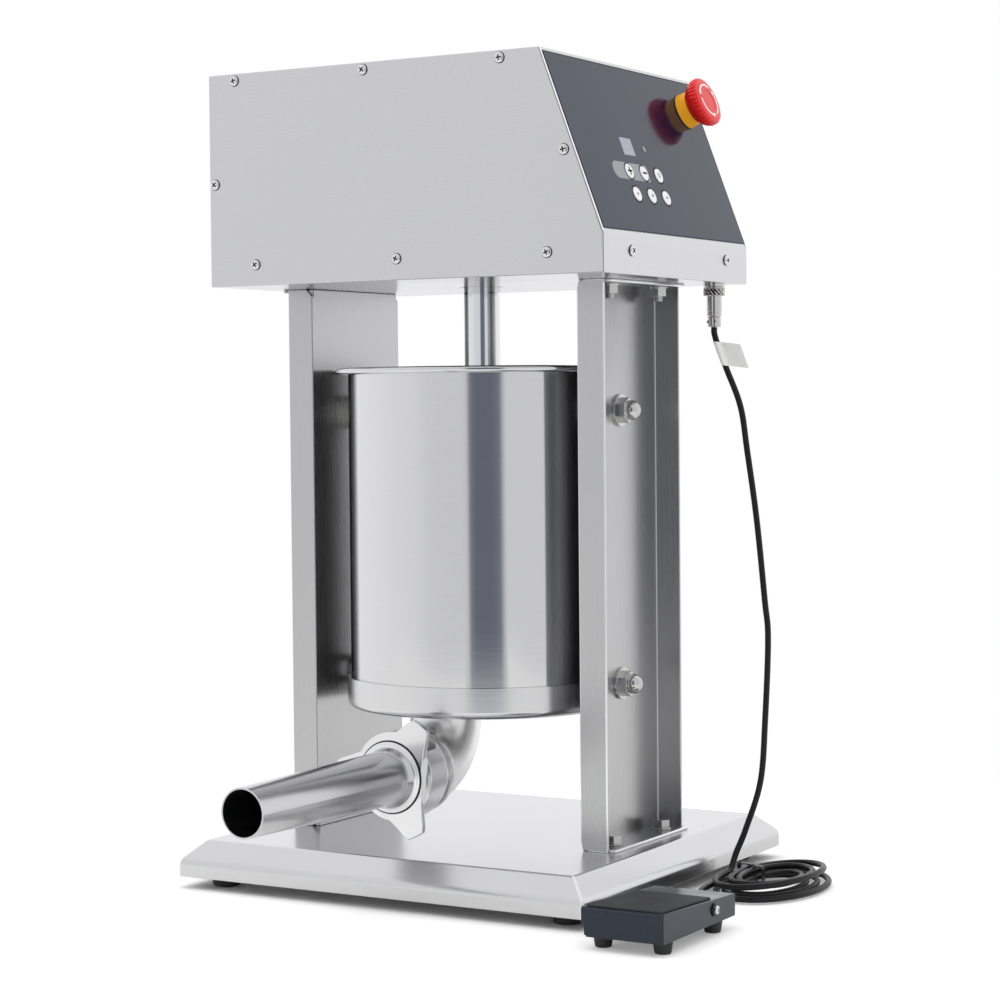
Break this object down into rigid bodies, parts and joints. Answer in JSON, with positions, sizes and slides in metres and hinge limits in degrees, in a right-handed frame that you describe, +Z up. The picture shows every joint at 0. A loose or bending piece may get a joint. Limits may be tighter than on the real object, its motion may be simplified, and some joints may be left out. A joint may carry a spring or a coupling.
{
  "type": "sausage stuffer",
  "caption": "Electric vertical sausage stuffer: a motor head drives a rack rod and piston down a steel cylinder to a front nozzle, with a foot pedal.",
  "frame": {"origin": "on the floor, under the middle of the box around the machine, nozzle and pedal, without the cord", "axes": "+Z up, +X towards the control panel's end, -Y along the nozzle, out of the machine's front"},
  "size_m": [0.4691, 0.5176, 0.656],
  "materials": {
    "stainless": "brushed",
    "polished": "polished",
    "fastener": "zinc plated",
    "gear_steel": "machined",
    "bronze": "machined",
    "motor": "satin",
    "plate": "plain",
    "overlay": "gloss",
    "window": "gloss",
    "board": "matt",
    "key": "gloss",
    "stop_yellow": "gloss",
    "stop_red": "gloss",
    "black_plastic": "matt",
    "white_plastic": "matt",
    "rubber": "matt",
    "cord": "satin",
    "pedal": "satin"
  },
  "bodies": {
    "frame": {"base_pan": "stainless", "base_feet": "rubber", "left_column": "stainless", "right_column": "stainless", "column_bolts": "fastener", "cylinder_studs": "fastener", "frame_nuts": "fastener", "guide_pads": "white_plastic", "cylinder_barrel": "polished", "cylinder_pan": "stainless", "outlet_elbow": "polished", "outlet_ferrule": "polished", "nozzle_gasket": "white_plastic", "head_floor": "stainless", "head_cover": "stainless", "control_panel": "stainless", "front_panel": "stainless", "back_panel": "stainless", "cover_screws": "fastener", "rod_guides": "bronze", "mains_inlet": "black_plastic", "control_overlay": "overlay", "display_window": "window", "control_board": "board", "stop_collar": "stop_yellow", "stop_barrel": "black_plastic", "drive_plates": "plate", "pinion_bearings": "gear_steel", "gear_motor": "motor", "pedal_socket": "fastener", "cable_plug": "fastener", "cord_drop": "cord", "cord_coil": "cord", "cord_lead": "cord", "cord_tie": "cord", "pedal_base": "pedal", "pedal_feet": "rubber", "pedal_pivot": "fastener", "pedal_switch": "black_plastic"},
    "rod": {"piston_rod": "polished", "piston_plate": "polished", "piston_seal": "white_plastic"},
    "air_valve": {"air_valve": "fastener"},
    "pinion": {"pinion_shaft": "gear_steel", "drive_gear": "gear_steel"},
    "motor_pinion": {"motor_pinion": "gear_steel"},
    "stop_stem": {"stop_stem": "black_plastic"},
    "stop_cap": {"stop_cap": "stop_red"},
    "nozzle": {"nozzle": "polished"},
    "nozzle_nut": {"nozzle_nut": "polished"},
    "plug_ring": {"plug_ring": "fastener"},
    "pedal": {"pedal_hood": "pedal", "pedal_pad": "rubber"},
    "pedal_plunger": {"pedal_plunger": "black_plastic"},
    "key_plus": {"key_plus": "key"},
    "key_minus": {"key_minus": "key"},
    "key_right": {"key_right": "key"},
    "key_low_left": {"key_low_left": "key"},
    "key_low_middle": {"key_low_middle": "key"},
    "key_low_right": {"key_low_right": "key"}
  },
  "joints": [
    {"name": "rod_lift", "type": "slide", "parent": "frame", "child": "rod", "axis": [0, 0, 1], "range_m": [0, 0.272]},
    {"name": "air_valve_slide", "type": "slide", "parent": "rod", "child": "air_valve", "axis": [0, 0, 1], "range_m": [0, 0.004]},
    {"name": "pinion_turn", "type": "hinge", "parent": "frame", "child": "pinion", "pos_m": [-0.04765, 0.1108, 0.56], "axis": [1, 0, 0], "range_deg": [-891, 0]},
    {"name": "motor_pinion_turn", "type": "hinge", "parent": "frame", "child": "motor_pinion", "pos_m": [-0.04765, 0.04083, 0.533], "axis": [1, 0, 0], "range_deg": [0, 3564]},
    {"name": "stop_push", "type": "slide", "parent": "frame", "child": "stop_stem", "axis": [-0.9348, 0, -0.3552], "range_m": [0, 0.005], "stiffness_N_per_m": 500, "springref_m": -0.004},
    {"name": "stop_twist", "type": "hinge", "parent": "stop_stem", "child": "stop_cap", "pos_m": [0.10136, 0.1569, 0.62452], "axis": [0.9348, 0, 0.3552], "range_deg": [0, 45], "stiffness_Nm_per_rad": 0.03, "springref_deg": -9.74},
    {"name": "nozzle_draw", "type": "slide", "parent": "frame", "child": "nozzle", "axis": [0, -1, 0], "range_m": [0, 0.012]},
    {"name": "nut_turn", "type": "hinge", "parent": "nozzle", "child": "nozzle_nut", "pos_m": [-0.04765, -0.0627, 0.098], "axis": [0, -1, 0], "range_deg": [0, 1080]},
    {"name": "plug_ring_turn", "type": "hinge", "parent": "frame", "child": "plug_ring", "pos_m": [0.12835, 0.1558, 0.478], "axis": [0, 0, 1], "range_deg": [0, 360]},
    {"name": "pedal_press", "type": "hinge", "parent": "frame", "child": "pedal", "pos_m": [0.19685, -0.0627, 0.02], "axis": [1, 0, 0], "range_deg": [0, 3], "stiffness_Nm_per_rad": 2, "springref_deg": -6.02},
    {"name": "plunger_slide", "type": "slide", "parent": "frame", "child": "pedal_plunger", "axis": [0, 0, -1], "range_m": [0, 0.0025]},
    {"name": "key_plus_press", "type": "slide", "parent": "frame", "child": "key_plus", "axis": [-0.9348, 0, -0.3552], "range_m": [0, 0.0007], "stiffness_N_per_m": 1500, "springref_m": -0.0005},
    {"name": "key_minus_press", "type": "slide", "parent": "frame", "child": "key_minus", "axis": [-0.9348, 0, -0.3552], "range_m": [0, 0.0007], "stiffness_N_per_m": 1500, "springref_m": -0.0005},
    {"name": "key_right_press", "type": "slide", "parent": "frame", "child": "key_right", "axis": [-0.9348, 0, -0.3552], "range_m": [0, 0.0007], "stiffness_N_per_m": 1500, "springref_m": -0.0005},
    {"name": "key_low_left_press", "type": "slide", "parent": "frame", "child": "key_low_left", "axis": [-0.9348, 0, -0.3552], "range_m": [0, 0.0007], "stiffness_N_per_m": 1500, "springref_m": -0.0005},
    {"name": "key_low_middle_press", "type": "slide", "parent": "frame", "child": "key_low_middle", "axis": [-0.9348, 0, -0.3552], "range_m": [0, 0.0007], "stiffness_N_per_m": 1500, "springref_m": -0.0005},
    {"name": "key_low_right_press", "type": "slide", "parent": "frame", "child": "key_low_right", "axis": [-0.9348, 0, -0.3552], "range_m": [0, 0.0007], "stiffness_N_per_m": 1500, "springref_m": -0.0005}
  ],
  "couplings": [
    {"joint": "pinion_turn", "follows": "rod_lift", "rad_per_m": -57.143},
    {"joint": "motor_pinion_turn", "follows": "rod_lift", "rad_per_m": 228.57},
    {"joint": "nozzle_draw", "follows": "nut_turn", "m_per_rad": 0.000636},
    {"joint": "plunger_slide", "follows": "pedal_press", "m_per_rad": 0.045}
  ]
}
